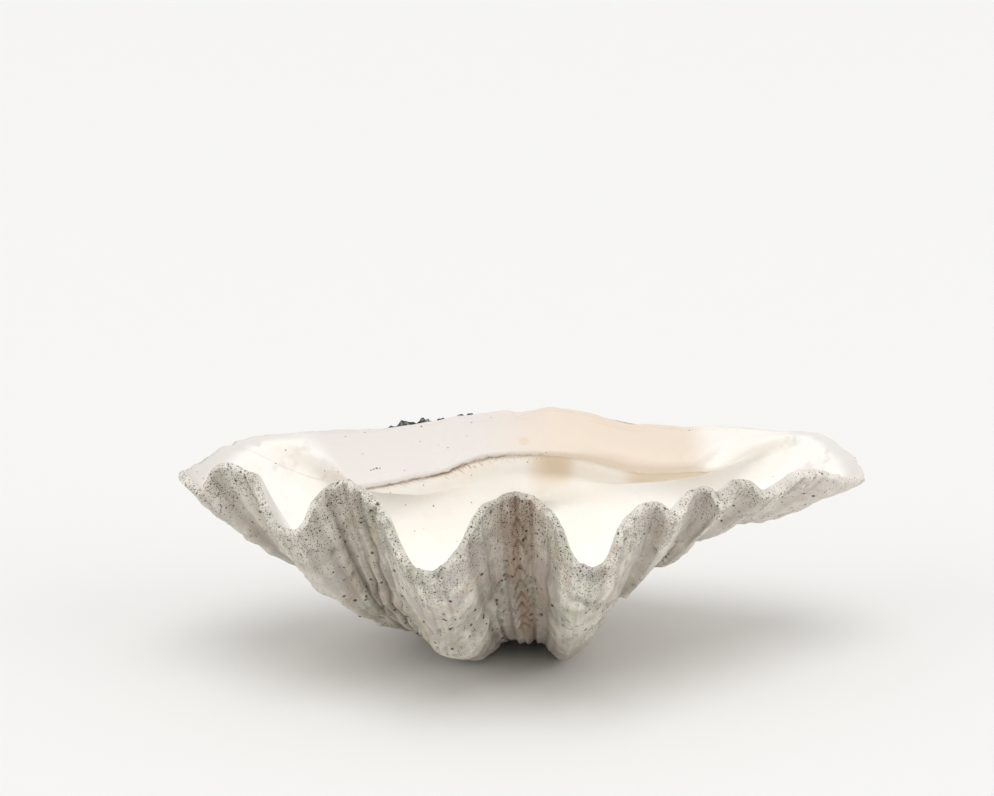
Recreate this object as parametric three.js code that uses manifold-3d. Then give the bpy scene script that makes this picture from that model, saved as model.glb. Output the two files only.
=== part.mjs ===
// One valve of a giant clam, grown as one piece, lying on its ribs with the hollow up.
// Millimetres, +Z up. The hinge line runs along X at the back and the free margin faces -Y.
// The wall is a coiled cone: every line from the beak to the margin turns about X as it grows.
// The points below are measured from the middle of the hinge line. The finished valve is
// moved so that its box stands on z = 0 with its middle at the origin.
import * as THREE from 'three';
import Module from 'manifold-3d';
import { mergeVertices } from 'three/addons/utils/BufferGeometryUtils.js';

const wasm = await Module();
wasm.setup();

// Stations round the margin, from the left wing along the free margin and back over the hinge
// line: name, kind, x, y, z and how far the wall below sags. A rib is a fold's outward end, a
// groove its inward end, and the others lie on both.
const STATIONS = [
  ['leftTip', 'both', -189, -105, 3, 15],
  ['rib0', 'rib', -181, -116, -1, 9],
  ['groove0', 'groove', -162, -118, 11.5, 25],
  ['rib1', 'rib', -127.5, -165, -9, 14],
  ['groove1', 'groove', -99.5, -160, 14, 27],
  ['rib2', 'rib', -56.5, -205, -17, 10.5],
  ['groove2', 'groove', -14.5, -180, 13, 17],
  ['rib3', 'rib', 23, -205, -14.5, 8.5],
  ['groove3', 'groove', 53, -167, 3.5, 1],
  ['rib4', 'rib', 63, -172, -0.5, -4],
  ['groove4', 'groove', 80.5, -140, 4, -2],
  ['rib5', 'rib', 88.5, -147, -1, -5],
  ['groove5', 'groove', 104.5, -117, 2.5, -3],
  ['rib6', 'rib', 119.5, -120, -4.5, -4],
  ['groove6', 'groove', 144.5, -88, 3, 1],
  ['rib7', 'rib', 160, -90, -3.5, -1],
  ['rightTip', 'both', 172, -78, -5, 2],
  ['rightEnd', 'both', 173, -55, -0.5, 1.5],
  ['rightCorner', 'both', 161.5, -35, 6.5, 0.5],
  ['hingeRight', 'both', 125, -20, 5, 0],
  ['hingeNearRight', 'both', 74.5, -6, 3, 0],
  ['umbo', 'both', 9, 4, 10.5, 0],
  ['hingeNearLeft', 'both', -30.5, 3, 8, 0],
  ['hingeLeft', 'both', -88.5, -8, 2, 0],
  ['hingeFarLeft', 'both', -133.5, -25, 4, 0],
  ['leftCorner', 'both', -174.5, -50, 7.5, 4.5],
  ['leftEnd', 'both', -184.5, -78, 4, 10.5],
];
// The lower front edge of the hinge plate, by the station it lies below.
const PLATE_EDGE = [
  ['rightTip', 140, -66, -16],
  ['rightEnd', 138, -58, -14],
  ['rightCorner', 128, -50, -12],
  ['hingeRight', 92, -42, -13],
  ['hingeNearRight', 56, -34, -15.5],
  ['umbo', 8, -27, -7.5],
  ['hingeNearLeft', -30, -33, -7],
  ['hingeLeft', -82, -50, -17.5],
  ['hingeFarLeft', -112, -58, -20],
  ['leftCorner', -146, -68, -17],
  ['leftEnd', -158, -80, -18],
];

// Coil of the outside: the beak it starts from, the turn there and how fast it unwinds.
const BEAK = new THREE.Vector3(2, 10, -10);
const BEAK_TURN = 3.0;
const COIL = 1.59;
const BELLY_RISE = 1.3;
const BELLY_FALL = 2.5;

// Wall thickness at the lip, in the bowl, and what the wings have less than the bowl.
const LIP = 4.5;
const BOWL_WALL = 12;
const WING_THINNER = 4.5;
const HALF_LENGTH = 185;
const LIP_CROWN = 1.5;
const WIDE_REACH = 14;

// Inside: the deepest point under the hinge plate, where the wall lines start on the coil, how
// fast the folds fade, how far the small ribs are filled, and the overhang below the plate.
const CAVITY = new THREE.Vector3(2, -16, -38);
const INNER_START = 0.3;
const INNER_FADE = 1.6;
const RIB_FILL = { rib4: 0.45, rib5: 0.5, rib6: 0.15 };
const PLATE_EDGE_AT = 0.62;
const PLATE_SWELL = 2;
const OVERHANG = new THREE.Vector3(0, 5, -3);
const CAVITY_PULL = 0.8;

// Growth ledges: where on the coil each one stops and how high it stands.
const LEDGES = [[0.71, 1], [0.84, 1.1], [0.94, 0.8]];
const LEDGE_LENGTH = 0.07;
const LEDGE_DROP = 0.01;

// Old crust behind the hinge line: x of each lump, its reach along X and its height.
const CRUST = [[-80, 9, 5], [-64, 11, 7.5], [-47, 9, 5.5]];
const CRUST_AT = 0.9;
const CRUST_REACH = 0.12;
const CRUST_WAY = new THREE.Vector3(0, 0.75, 0.66);

// How far the lowest ribs are worn flat, which is what the valve rests on.
const REST_WEAR = 2.2;

// Grid: mean column width, and the rows from beak to lip and from lip to cavity.
const COLUMN = 8;
const OUTER_ROWS = [0.06, 0.13, 0.2, 0.27, 0.34, 0.41, 0.48, 0.55, 0.62, 0.665, 0.71, 0.72,
  0.76, 0.8, 0.84, 0.85, 0.89, 0.94, 0.95, 1];
const INNER_ROWS = [1, 0.93, 0.85, 0.77, 0.69, 0.62, 0.56, 0.48, 0.39, 0.3, 0.2, 0.1];

const count = STATIONS.length;
const rimPoints = STATIONS.map(([, , x, y, z]) => new THREE.Vector3(x, y, z));
const spans = rimPoints.map((p, i) => p.distanceTo(rimPoints[(i + 1) % count]));
const girth = spans.reduce((sum, span) => sum + span, 0);
const places = spans.map((_, i) => spans.slice(0, i).reduce((sum, span) => sum + span, 0));
const placeOf = Object.fromEntries(STATIONS.map(([name], i) => [name, places[i]]));

const mix = THREE.MathUtils.lerp;
const clamp = THREE.MathUtils.clamp;
const smooth = THREE.MathUtils.smoothstep;

// A closed cubic curve through numbers at places round the margin. When level it never passes
// its highest and lowest numbers, because it runs flat through each of them.
function closedCurve(at, numbers, level = false) {
  const n = at.length;
  const gap = at.map((a, i) => (at[(i + 1) % n] - a + girth) % girth);
  const rise = numbers.map((v, i) => (numbers[(i + 1) % n] - v) / gap[i]);
  const slope = numbers.map((_, i) => {
    const before = (i + n - 1) % n;
    if (!level) {
      return (rise[before] * gap[i] + rise[i] * gap[before]) / (gap[i] + gap[before]);
    }
    if (rise[before] * rise[i] <= 0) return 0;
    const near = 2 * gap[i] + gap[before];
    const far = gap[i] + 2 * gap[before];
    return (near + far) / (near / rise[before] + far / rise[i]);
  });
  return (t) => {
    const along = (((t - at[0]) % girth) + girth) % girth;
    let i = n - 1;
    while (i > 0 && at[i] - at[0] > along) i -= 1;
    const u = (along - (at[i] - at[0])) / gap[i];
    const next = (i + 1) % n;
    return (2 * u ** 3 - 3 * u ** 2 + 1) * numbers[i] + (u ** 3 - 2 * u ** 2 + u) * gap[i] * slope[i]
      + (3 * u ** 2 - 2 * u ** 3) * numbers[next] + (u ** 3 - u ** 2) * gap[i] * slope[next];
  };
}

// The same curve through points.
function closedPath(at, points) {
  const [x, y, z] = ['x', 'y', 'z'].map((axis) => closedCurve(at, points.map((p) => p[axis])));
  return (t) => new THREE.Vector3(x(t), y(t), z(t));
}

const without = (kind) => STATIONS.map((s, i) => i).filter((i) => STATIONS[i][1] !== kind);
const pathWithout = (kind) => closedPath(
  without(kind).map((i) => places[i]),
  without(kind).map((i) => rimPoints[i]),
);
const ribPath = pathWithout('groove');
const groovePath = pathWithout('rib');
const sag = closedCurve(places, STATIONS.map((s) => s[5]));
const WAVE = { rib: 1, groove: 0, both: 0.5 };
const wave = closedCurve(places, STATIONS.map(([, kind]) => WAVE[kind]), true);
const filledWave = closedCurve(
  places,
  STATIONS.map(([name, kind]) => WAVE[kind] - (RIB_FILL[name] ?? 0)),
  true,
);
const platePlaces = PLATE_EDGE.map(([name]) => placeOf[name]);
const plateEdge = closedPath(
  platePlaces,
  PLATE_EDGE.map(([, x, y, z]) => new THREE.Vector3(x, y, z)),
);

const rimAt = (t, share) => groovePath(t).lerp(ribPath(t), share);
const levelRim = (t) => rimAt(t, 0.5);

// 1 on the free margin, 0 along the hinge line.
function freedom(t) {
  if (t > placeOf.hingeNearLeft) return smooth(t, placeOf.hingeLeft, placeOf.leftCorner);
  if (t > placeOf.rightCorner) return 1 - smooth(t, placeOf.rightCorner, placeOf.hingeNearRight);
  return 1;
}

// Sag of the wall between beak and margin, 1 at its deepest.
const bellyShape = (s) => s ** BELLY_RISE * (1 - s ** BELLY_FALL);
const bellyPeak = (BELLY_RISE / (BELLY_RISE + BELLY_FALL)) ** (1 / BELLY_FALL);
const belly = (s) => bellyShape(s) / bellyShape(bellyPeak);

// A point of the coiled wall, s from 0 at the beak to 1 at the margin. Folds fade towards the
// beak as s to the power fade, and folds = 0 leaves them out.
function coil(s, t, fade, folds = 1, share = wave) {
  const level = levelRim(t);
  const edge = rimAt(t, share(t)).sub(level).multiplyScalar(s ** fade * folds).add(level);
  const turn = freedom(t) * BEAK_TURN * (1 - s ** (COIL / BEAK_TURN));
  const point = edge.sub(BEAK).applyAxisAngle(new THREE.Vector3(1, 0, 0), turn);
  point.multiplyScalar(s).add(BEAK);
  point.z -= belly(s) * sag(t);
  return point;
}

// Outward unit normal of a surface given as a function of s and t, over a reach along t.
function normalOf(surface, s, t, reach = 2) {
  const alongS = surface(Math.min(s + 0.01, 1), t).sub(surface(s - 0.01, t));
  const alongT = surface(s, t + reach).sub(surface(s, t - reach));
  return alongT.cross(alongS).normalize();
}

// Sawtooth of the growth ledges: a slow rise towards the margin, then a short drop.
function ledge(s) {
  return LEDGES.reduce((sum, [stop, height]) => {
    const rise = clamp((s - stop + LEDGE_LENGTH) / LEDGE_LENGTH, 0, 1);
    const drop = clamp((s - stop) / LEDGE_DROP, 0, 1);
    return sum + height * rise ** 2 * (1 - drop);
  }, 0);
}

// The outside, with its ledges and the crust behind the hinge line.
function outside(s, t) {
  const surface = (a, b) => coil(a, b, 1);
  const point = surface(s, t).addScaledVector(normalOf(surface, s, t), ledge(s) * freedom(t));
  const rimX = levelRim(t).x;
  const onHinge = t > placeOf.hingeNearRight && t < placeOf.hingeFarLeft;
  for (const [x, reach, height] of onHinge ? CRUST : []) {
    const near = Math.exp(-(((rimX - x) / reach) ** 2) - ((s - CRUST_AT) / CRUST_REACH) ** 2);
    point.addScaledVector(CRUST_WAY, height * near * (1 - s ** 12));
  }
  return point;
}

// Outward direction across the lip: the wall's normal, level on the hinge line.
function lipWay(t) {
  const wall = normalOf((a, b) => coil(a, b, 1), 1, t);
  const ahead = rimAt(t + 0.5, wave(t + 0.5)).sub(rimAt(t - 0.5, wave(t - 0.5)));
  const level = new THREE.Vector3(ahead.y, -ahead.x, 0).normalize();
  return level.lerp(wall, freedom(t)).normalize();
}

// The outside moved inwards by the wall's thickness, with softer folds.
function bowl(s, t) {
  const folded = (a, b) => coil(a, b, INNER_FADE, 1, filledWave);
  const plain = (a, b) => coil(a, b, INNER_FADE, 0);
  const depth = 1 - clamp((s - 0.6) / 0.4, 0, 1);
  const reach = mix(2, WIDE_REACH, depth);
  const out = normalOf(folded, s, t, reach).lerp(normalOf(plain, s, t, reach), 0.7 * depth).normalize();
  const deep = BOWL_WALL - WING_THINNER * (levelRim(t).x / HALF_LENGTH) ** 2;
  const wall = mix(deep, LIP, clamp((s - 0.5) / 0.5, 0, 1) ** 1.5);
  return folded(s, t).addScaledVector(out, -wall);
}

// Wall of the hollow, v from 0 in the cavity to 1 at the lip. Past the turning point it follows
// the bowl, and before it a cubic leads it into the cavity.
function hollow(v, t) {
  const onCoil = (a) => INNER_START + (1 - INNER_START) * a;
  const turning = 0.36 + 0.38 * (levelRim(t).x / HALF_LENGTH) ** 2;
  if (v >= turning) return bowl(onCoil(v), t);
  const u = v / turning;
  const end = bowl(onCoil(turning), t);
  const slope = bowl(onCoil(turning + 0.01), t).sub(end).multiplyScalar(turning / 0.01);
  const start = end.clone().sub(CAVITY).multiplyScalar(CAVITY_PULL);
  return CAVITY.clone().multiplyScalar(2 * u ** 3 - 3 * u ** 2 + 1)
    .addScaledVector(start, u ** 3 - 2 * u ** 2 + u)
    .addScaledVector(end, 3 * u ** 2 - 2 * u ** 3)
    .addScaledVector(slope, u ** 3 - u ** 2);
}

// The hinge plate above its edge and the overhang and cavity below it.
function hingeSide(v, t) {
  const edge = plateEdge(t);
  if (v >= PLATE_EDGE_AT) {
    const u = (v - PLATE_EDGE_AT) / (1 - PLATE_EDGE_AT);
    const lip = rimAt(t, wave(t)).addScaledVector(lipWay(t), -LIP);
    const point = edge.lerp(lip, u);
    point.z += PLATE_SWELL * 4 * u * (1 - u);
    return point;
  }
  const u = v / PLATE_EDGE_AT;
  const bump = (u ** 5 * (1 - u)) / ((5 / 6) ** 5 / 6);
  return CAVITY.clone().lerp(edge, u).addScaledVector(OVERHANG, bump);
}

// 0 where the hinge plate is whole and 1 where the wings have none.
function plateEnd(t) {
  if (t > placeOf.hingeNearLeft) {
    return smooth(t, (placeOf.hingeLeft + placeOf.hingeFarLeft) / 2, placeOf.leftCorner);
  }
  return 1 - smooth(t, placeOf.rightCorner, placeOf.hingeRight);
}

const inside = (v, t) => hingeSide(v, t).lerp(hollow(v, t), plateEnd(t));

// The crown of the lip, halfway across it and a little beyond both edges.
function crown(t) {
  const outer = outside(1, t);
  const grow = outer.clone().sub(outside(0.98, t)).normalize();
  const way = new THREE.Vector3(0, 0, 1).lerp(grow, freedom(t)).normalize();
  return outer.lerp(inside(1, t), 0.5).addScaledVector(way, LIP_CROWN);
}

// The valve as one closed grid: beak, outer rows, crown, inner rows, cavity.
function valveGeometry() {
  const columns = spans.flatMap((span, i) => {
    const steps = Math.max(3, Math.round(span / COLUMN));
    return Array.from({ length: steps }, (_, k) => places[i] + (span * k) / steps);
  });
  const rows = [
    ...OUTER_ROWS.map((s) => columns.map((t) => outside(s, t))),
    columns.map(crown),
    ...INNER_ROWS.map((v) => columns.map((t) => inside(v, t))),
  ];
  const points = [BEAK.clone(), ...rows.flat(), CAVITY.clone()];
  const last = points.length - 1;
  const width = columns.length;
  const id = (row, column) => 1 + row * width + (column % width);
  const faces = [];
  for (let k = 0; k < width; k += 1) {
    faces.push([0, id(0, k + 1), id(0, k)]);
    faces.push([last, id(rows.length - 1, k), id(rows.length - 1, k + 1)]);
    for (let r = 0; r < rows.length - 1; r += 1) {
      const [a, b, c, d] = [id(r, k), id(r, k + 1), id(r + 1, k + 1), id(r + 1, k)];
      const straight = points[a].distanceTo(points[c]) < points[b].distanceTo(points[d]);
      faces.push(...(straight ? [[a, b, c], [a, c, d]] : [[a, b, d], [b, c, d]]));
    }
  }

  const floor = Math.min(...points.map((p) => p.z)) + REST_WEAR;
  const whole = new THREE.BufferGeometry().setFromPoints(points);
  whole.setIndex(faces.flat());
  const ground = new THREE.BoxGeometry(4 * HALF_LENGTH, 4 * HALF_LENGTH, HALF_LENGTH);
  ground.translate(0, 0, floor - HALF_LENGTH / 2);
  const geometry = cut(whole, ground);
  geometry.computeBoundingBox();
  const middle = geometry.boundingBox.getCenter(new THREE.Vector3());
  geometry.translate(-middle.x, -middle.y, -geometry.boundingBox.min.z);
  geometry.computeVertexNormals();
  return geometry;
}

// One closed geometry less another.
function cut(body, tool) {
  const solids = [body, tool].map((geometry) => {
    const bare = geometry.clone();
    bare.deleteAttribute('normal');
    bare.deleteAttribute('uv');
    const merged = mergeVertices(bare);
    return new wasm.Manifold(new wasm.Mesh({
      numProp: 3,
      vertProperties: new Float32Array(merged.attributes.position.array),
      triVerts: new Uint32Array(merged.index.array),
    }));
  });
  const mesh = solids[0].subtract(solids[1]).getMesh();
  const geometry = new THREE.BufferGeometry();
  geometry.setAttribute('position', new THREE.BufferAttribute(mesh.vertProperties, 3));
  geometry.setIndex(new THREE.BufferAttribute(mesh.triVerts, 1));
  return geometry;
}

const shellMaterial = new THREE.MeshStandardMaterial({ color: 0xd9d3c9, roughness: 0.62, metalness: 0 });
const valve = new THREE.Mesh(valveGeometry(), shellMaterial);
valve.name = 'valve';

const clamShell = new THREE.Group();
clamShell.add(valve);
export default clamShell;
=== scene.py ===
"""Giant clam valve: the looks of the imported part, laid out as an add-on and run as a script."""
import math

import bpy
import numpy as np
from bpy.props import FloatProperty, FloatVectorProperty, PointerProperty
from bpy.types import Operator, Panel, PropertyGroup
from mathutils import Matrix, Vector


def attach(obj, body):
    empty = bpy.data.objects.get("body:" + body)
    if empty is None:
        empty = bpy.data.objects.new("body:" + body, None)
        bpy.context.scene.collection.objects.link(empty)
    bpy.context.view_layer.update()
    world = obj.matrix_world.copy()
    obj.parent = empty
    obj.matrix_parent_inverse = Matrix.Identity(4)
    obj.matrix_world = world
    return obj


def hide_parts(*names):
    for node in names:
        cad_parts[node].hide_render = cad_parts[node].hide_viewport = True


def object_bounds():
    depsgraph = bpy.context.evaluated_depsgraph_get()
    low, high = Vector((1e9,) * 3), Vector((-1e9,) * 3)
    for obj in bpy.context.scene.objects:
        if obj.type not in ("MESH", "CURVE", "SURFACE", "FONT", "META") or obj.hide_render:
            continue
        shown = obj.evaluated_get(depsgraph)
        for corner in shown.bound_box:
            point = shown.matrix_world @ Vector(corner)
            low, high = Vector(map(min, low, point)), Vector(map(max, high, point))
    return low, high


bl_info = {
    "name": "Giant clam valve",
    "version": (1, 0, 0),
    "blender": (4, 5, 0),
    "location": "View3D > Sidebar > Clam",
    "description": "Grows a giant clam valve on its packed solid and lights it",
    "category": "Add Mesh",
}

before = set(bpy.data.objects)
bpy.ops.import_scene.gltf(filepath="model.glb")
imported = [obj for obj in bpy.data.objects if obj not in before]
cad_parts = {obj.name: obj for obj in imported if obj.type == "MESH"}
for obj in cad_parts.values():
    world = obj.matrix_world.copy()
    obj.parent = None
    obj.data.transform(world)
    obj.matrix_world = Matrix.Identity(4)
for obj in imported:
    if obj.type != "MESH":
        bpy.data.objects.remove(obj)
CAD_BOX = [list(corner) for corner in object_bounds()]
MM = 0.001

# Stations round the margin in millimetres from the middle of the hinge line, as the solid has
# them: name, kind, x, y, z and the sag of the wall below.
STATIONS = (
    ("leftTip", "both", -189, -105, 3, 15), ("rib0", "rib", -181, -116, -1, 9),
    ("groove0", "groove", -162, -118, 11.5, 25), ("rib1", "rib", -127.5, -165, -9, 14),
    ("groove1", "groove", -99.5, -160, 14, 27), ("rib2", "rib", -56.5, -205, -17, 10.5),
    ("groove2", "groove", -14.5, -180, 13, 17), ("rib3", "rib", 23, -205, -14.5, 8.5),
    ("groove3", "groove", 53, -167, 3.5, 1), ("rib4", "rib", 63, -172, -0.5, -4),
    ("groove4", "groove", 80.5, -140, 4, -2), ("rib5", "rib", 88.5, -147, -1, -5),
    ("groove5", "groove", 104.5, -117, 2.5, -3), ("rib6", "rib", 119.5, -120, -4.5, -4),
    ("groove6", "groove", 144.5, -88, 3, 1), ("rib7", "rib", 160, -90, -3.5, -1),
    ("rightTip", "both", 172, -78, -5, 2), ("rightEnd", "both", 173, -55, -0.5, 1.5),
    ("rightCorner", "both", 161.5, -35, 6.5, 0.5), ("hingeRight", "both", 125, -20, 5, 0),
    ("hingeNearRight", "both", 74.5, -6, 3, 0), ("umbo", "both", 9, 4, 10.5, 0),
    ("hingeNearLeft", "both", -30.5, 3, 8, 0), ("hingeLeft", "both", -88.5, -8, 2, 0),
    ("hingeFarLeft", "both", -133.5, -25, 4, 0), ("leftCorner", "both", -174.5, -50, 7.5, 4.5),
    ("leftEnd", "both", -184.5, -78, 4, 10.5),
)
# The hinge plate's edge: station, x, y and z.
PLATE_EDGE = (
    ("rightTip", 140, -66, -16), ("rightEnd", 138, -58, -14),
    ("rightCorner", 128, -50, -12), ("hingeRight", 92, -42, -13),
    ("hingeNearRight", 56, -34, -15.5), ("umbo", 8, -27, -7.5),
    ("hingeNearLeft", -30, -33, -7), ("hingeLeft", -82, -50, -17.5),
    ("hingeFarLeft", -112, -58, -20), ("leftCorner", -146, -68, -17),
    ("leftEnd", -158, -80, -18),
)
WAVE = {"rib": 1, "groove": 0, "both": 0.5}
# How steep the folds' flanks are, and those of the middle groove within MIDDLE_REACH of it.
STEEP_FLANK = 0.7
MIDDLE_FLANK = 0.9
MIDDLE_REACH = 34
MIDDLE_WIDER_LEFT = 0.5
MIDDLE_WIDER_RIGHT = 0.12
WIDER_REACH = 60
NARROW_RIB = 1.3
NARROW_FADE = 8
# What is kept of the right wing's low folds, the level they keep to, and where this comes and goes.
WING_FOLDS = 0.5
WING_LEVEL = 0.45
WING_FROM = (448, 482)
WING_TO = (545, 575)
RIB_FILL = {"rib4": 0.45, "rib5": 0.5, "rib6": 0.15}

BEAK = np.array((2, 10, -10))
BEAK_TURN = 3
COIL = 1.59
BELLY_RISE = 1.3
BELLY_FALL = 2.5
LIP = 4.5
BOWL_WALL = 12
WING_THINNER = 4.5
HALF_LENGTH = 185
LIP_CROWN = 1.5
NEAR_REACH = 2
WIDE_REACH = 14
WIDE_SHARE = 0.7
STEP = 0.01
# The hollow leaves the cavity's pole and meets the bowl at this share, and later on the wings.
TURNING = 0.36
WING_TURNING = 0.38
CAVITY = np.array((2, -16, -38))
INNER_START = 0.3
INNER_FADE = 1.6
PLATE_EDGE_AT = 0.62
PLATE_SWELL = 2
EDGE_DIP = 3
EDGE_DIP_AT = -55
EDGE_DIP_REACH = 14
ROLL_FROM = (12, 40)
ROLL_TO = (82, 88)
ROLL_WAY = np.array((0, -4, 3.5))
OVERHANG = np.array((0, 5, -3))
CAVITY_PULL = 0.8
# Growth ledges: share of the growth and height.
LEDGES = ((0.62, 1.4), (0.705, 1.8), (0.77, 1.2), (0.835, 2), (0.9, 1), (0.95, 1.2))
LEDGE_LENGTH = 0.06
LEDGE_DROP = 0.01
# Fine ribs, coarse and fine: wavelength, shift of the noise, share of the height, and width.
RIBLETS = ((7.5, 3.1, 1, 0.16), (4.6, 5.7, 0.5, 0.2))
# Swells and hollows of the outside: place, share of the growth, height, and reach along the margin
# and along the growth.
SWELLS = (
    (203, 0.83, 5.5, 22, 0.05), (313, 0.78, -3, 22, 0.09), (130, 0.83, 2.5, 20, 0.05),
    (113, 0.74, -3, 14, 0.06), (463, 0.9, -3, 10, 0.06),
)
PIT_COUNT = 150
SLIT_COUNT = 30
NOISE_SEED = 7
DENT_SEED = 23
# The low lobe that holds half of the pits and all of the slits: places and shares of the growth.
LOBE = (176, 336)
LOBE_PITS = (0.78, 0.94)
LOBE_SLITS = (0.79, 0.88)
WALL_LENGTH = 270
# Scales up the middle groove: shares of the growth.
SCUTES = (0.975, 0.945, 0.9, 0.87, 0.845, 0.82, 0.79, 0.765)
# Ridges and valleys that run with the growth: place, height, half-width and how dark the valley's
# line of painted shade is.
RIDGES = (
    (40, 1, 2.4, 0), (45.5, -1.1, 1.5, 0.6), (51, 1.1, 2.4, 0), (58, -1.2, 1.6, 0.7),
    (65, 1, 2.6, 0), (72, -0.8, 1.6, 0.4), (106, 0.8, 2.6, 0), (112, -0.9, 1.6, 0.5),
    (118, 1.2, 2.4, 0), (123.5, -1.9, 1.7, 0.9), (129, 1.7, 2.3, 0), (134.5, -2, 1.6, 1),
    (140, 1.8, 2.3, 0), (145.5, -1.9, 1.7, 1), (151.5, 1.6, 2.5, 0), (158, -1.6, 1.6, 0.8),
    (164.5, 1.4, 2.6, 0), (171, -1.3, 1.6, 0.6), (178, 1, 2.6, 0), (186, -0.8, 1.6, 0.3),
    (234, 0.8, 2.4, 0), (238.5, -1.5, 1.4, 0.6), (250.3, -0.8, 1.7, 0.4), (255.8, 1.1, 1.9, 0),
    (260.8, -1, 1.5, 0.8), (264.8, 1.1, 1.9, 0), (271.3, -1, 1.6, 0.6), (276.5, 1, 1.9, 0),
    (284, -1.3, 1.4, 0.6), (291, 0.6, 2.4, 0), (333, 0.9, 2.2, 0), (338.5, -1.3, 1.3, 0.8),
    (343.5, 1, 1.8, 0), (348.5, -1.2, 1.3, 0.6), (375, 0.8, 1.8, 0), (380, -1.2, 1.3, 0.8),
    (385, 1, 1.8, 0), (390.5, -1.1, 1.3, 0.6), (419, 0.9, 1.8, 0), (424, -1.2, 1.3, 0.8),
    (429, 0.9, 1.8, 0), (478, -1, 1.4, 0.5), (484, 0.9, 2.2, 0), (491, -1, 1.4, 0.5),
)
# Low and high places of the hinge rim: x, height and half-width in millimetres.
RIM_STEPS = ((46, -2.8, 15), (-12, -1, 5), (8, 0.8, 9), (100, 0.7, 14))
CRUST_WAY = np.array((0, 0.75, 0.66))
CRUST_PLACE = 838
CRUST_HALF_LENGTH = 31
CRUST_MIDDLE = 0.885
CRUST_HALF_WIDTH = 0.112
CRUST_RINGS = 33
CRUST_UNDER_RINGS = 10
CRUST_COLUMNS = 180
CRUST_SUNK = 0.4

# Reach of the lip past the smooth margin: place and millimetres.
SCALLOPS = (
    (0, 2), (17, 3), (22, 0.5), (28, 1.7), (31, 2.9), (34, 1), (39, -1.3), (42, -3.7), (48, -6),
    (58, -2), (71, 4), (78, 2.5), (81, -1), (89, 1), (96, -0.2), (103, 1.5), (113, 1.2),
    (117, 3.4), (120, 2.6), (124, 0.8), (129, -0.5), (136, 0.4), (141, -2.6), (150, -3.7),
    (159, -4.1), (167, -0.5), (171, -4), (183, -6), (194, -2.5), (205, -0.3), (214, 3.8),
    (224, 3.7), (230, 3.9), (236, 6.3), (240.6, 4.3), (250, -1.9), (256.7, -0.3), (267, 0.4),
    (273, -0.8), (278, -0.6), (284, 4.3), (289, 6.1), (292, 1.2), (297, -0.2), (305, 2.1),
    (317, -1.6), (326, -4), (332, -4.5), (336, 3), (338, 5), (342, 2.5), (352, -1.8), (358, 0.8),
    (371, 0.7), (392, -1.6), (397, 1.1), (403, 1.9), (414, 0.6), (426, 1.1), (430, 5), (438, 3),
    (450, 1.2), (463, -1), (471, -2.5), (476, -0.7), (490, 0), (512, -3), (525, -2.4), (531, 0.5),
    (541, -2.9), (553, -1), (577, -2.5), (600, -3), (625, 0), (925, 0), (955, -4.5), (975, -2),
    (1000, 0),
)

# How far the lip lies behind the solid's, and below it in the grooves, and what the ribs add.
LIP_BACK = 2
LIP_DOWN = (1, 2.5)

# Middle of the hinge line in the frame, in millimetres.
HINGE_AT = np.array((7.6237, 92.8314, 101.3418))

# Camera fitted to the photograph's outline: place in metres, lens and sensor in millimetres, and
# degrees that it looks down. FAR and FLOOR_HALF are in metres.
CAMERA_AT = (-0.0168, -1.0626, 0.3865)
LENS = 76.06
SENSOR = 36
CAMERA_DOWN = 13
FAR = 100
FLOOR_HALF = 14

# The lamps' width as seen from the floor, and their turns about X, Y and Z, in degrees.
LAMP_SPREAD = 44
OVERHEAD = (12, 0, 0)
RIGHT_FILL = (0, 64, -28)
LEFT_FILL = (0, -64, 28)

# Grid of the modelled surface.
MARGIN_STEP = 1.75
HINGE_STEP = 2.5
OUTER_FINE_FROM = 0.62
OUTER_COARSE_COUNT = 24
OUTER_FINE_COUNT = 106
CROWN_COUNT = 6
INNER_COUNT = 54
# Length of the growth as the streaks and rings read it.
GROWTH_LENGTH = 150
EASING_REACHES = (24, 12, 6, 3, 1)
EASING_ROUNDS = 14

# The material. Tints of the chalk: size in millimetres, low and high level, amount and colour.
CHALK_TINTS = (
    (17, 0.46, 0.62, 1, "chalk_grey"), (29, 0.5, 0.64, 0.7, "moss"),
    (21, 0.54, 0.64, 0.65, "blush"), (24, 0.5, 0.59, 0.7, "lilac"),
)
# Spots inside: place, radius and fade in millimetres, amount and colour.
SPOTS = (
    ((-9.4, -21.9, -1.1), 1.8, 2.2, 0.8, "tan"), ((152.1, -87.7, -8.9), 0.8, 1.8, 0.85, "rust"),
    ((-93.4, -43.6, -12.1), 0.2, 0.6, 0.7, "pore"), ((-92, -42.8, -11.8), 0.2, 0.7, 0.7, "pore"),
    ((-90.4, -42.1, -11.4), 0.3, 0.8, 0.8, "pore"), ((-88.6, -42, -11.3), 0.2, 0.7, 0.6, "pore"),
)
# How far below the right plate's edge its two tints of painted shade reach, and how strong they
# are.
UNDER_PLATE_SHADES = ((34, 0.9, "peach_shade"), (30, 0.9, "tan"))

RIM = np.array([s[2:5] for s in STATIONS], float)
SPANS = np.linalg.norm(np.roll(RIM, -1, 0) - RIM, axis=1)
GIRTH = SPANS.sum()
PLACES = np.concatenate(([0], np.cumsum(SPANS)[:-1]))
PLACE = {s[0]: p for s, p in zip(STATIONS, PLACES)}
MIDDLE = PLACE["groove2"]
UP = np.array((0, 0, 1))


def smooth(x, low, high):
    """0 below low, 1 above high, and the cubic 3u^2 - 2u^3 between them."""
    u = np.clip((x - low) / (high - low), 0, 1)
    return u * u * (3 - 2 * u)


def bell(x):
    """exp(-x^2)."""
    return np.exp(-(x**2))


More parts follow.
